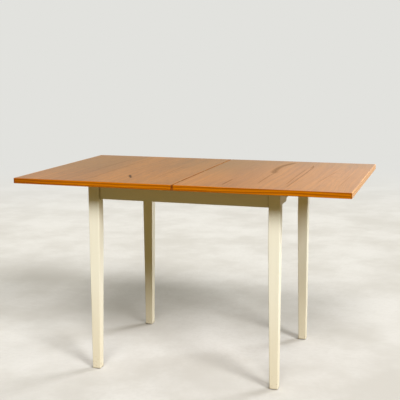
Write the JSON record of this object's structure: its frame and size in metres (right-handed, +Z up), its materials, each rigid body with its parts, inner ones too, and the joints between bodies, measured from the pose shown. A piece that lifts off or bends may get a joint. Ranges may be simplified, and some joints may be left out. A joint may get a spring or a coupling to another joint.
{
  "type": "turn-and-fold table",
  "caption": "Dining table with a hinged top: the leaf folds over onto the main panel and the folded top turns a quarter turn on a painted frame with tapered legs.",
  "frame": {"origin": "on the floor, under the middle of the open top", "axes": "+X along the open top from the main panel to the leaf, +Y to the back, +Z up"},
  "size_m": [1.248, 0.784, 0.75],
  "materials": {
    "paint": "satin paint over wood",
    "beech": "matte",
    "zinc_steel": "satin",
    "nylon": "matte",
    "felt": "matte",
    "glide_plastic": "matte",
    "core_board": "matte",
    "teak_veneer": "satin",
    "teak_lipping": "satin",
    "brass": "satin"
  },
  "bodies": {
    "frame": {"leg_front_left": "paint", "leg_front_right": "paint", "leg_back_left": "paint", "leg_back_right": "paint", "rail_front": "paint", "rail_back": "paint", "rail_left": "paint", "rail_right": "paint", "corner_block_front_left": "beech", "corner_block_front_right": "beech", "corner_block_back_left": "beech", "corner_block_back_right": "beech", "corner_block_screws": "zinc_steel", "pivot_board": "beech", "board_cleat_front": "beech", "board_cleat_back": "beech", "cleat_screws": "zinc_steel", "board_screws": "zinc_steel", "pivot_bush": "nylon", "glide_pads": "felt", "foot_glides": "glide_plastic"},
    "top": {"main_core": "core_board", "main_veneer_top": "teak_veneer", "main_veneer_under": "teak_veneer", "main_lipping_end": "teak_lipping", "main_lipping_seam": "teak_lipping", "main_lipping_front": "teak_lipping", "main_lipping_back": "teak_lipping", "pivot_plate": "zinc_steel", "pivot_bolt": "zinc_steel", "plate_screws": "zinc_steel", "stop_pin": "zinc_steel", "pivot_washer": "zinc_steel", "pivot_nut": "zinc_steel", "hinge_blocks_main": "brass", "hinge_pins_main": "brass", "hinge_screws_main": "brass"},
    "hinge_links": {"hinge_links": "brass"},
    "leaf": {"leaf_core": "core_board", "leaf_veneer_top": "teak_veneer", "leaf_veneer_under": "teak_veneer", "leaf_lipping_end": "teak_lipping", "leaf_lipping_seam": "teak_lipping", "leaf_lipping_front": "teak_lipping", "leaf_lipping_back": "teak_lipping", "hinge_blocks_leaf": "brass", "hinge_pins_leaf": "brass", "hinge_screws_leaf": "brass"}
  },
  "joints": [
    {"name": "top_turn", "type": "hinge", "parent": "frame", "child": "top", "pos_m": [-0.156, 0.156, 0.7272], "axis": [0, 0, 1], "range_deg": [0, 90]},
    {"name": "link_fold", "type": "hinge", "parent": "top", "child": "hinge_links", "pos_m": [-0.0033, 0, 0.747], "axis": [0, -1, 0], "range_deg": [0, 90]},
    {"name": "leaf_fold", "type": "hinge", "parent": "hinge_links", "child": "leaf", "pos_m": [0.0033, 0, 0.747], "axis": [0, -1, 0], "range_deg": [0, 90]}
  ]
}
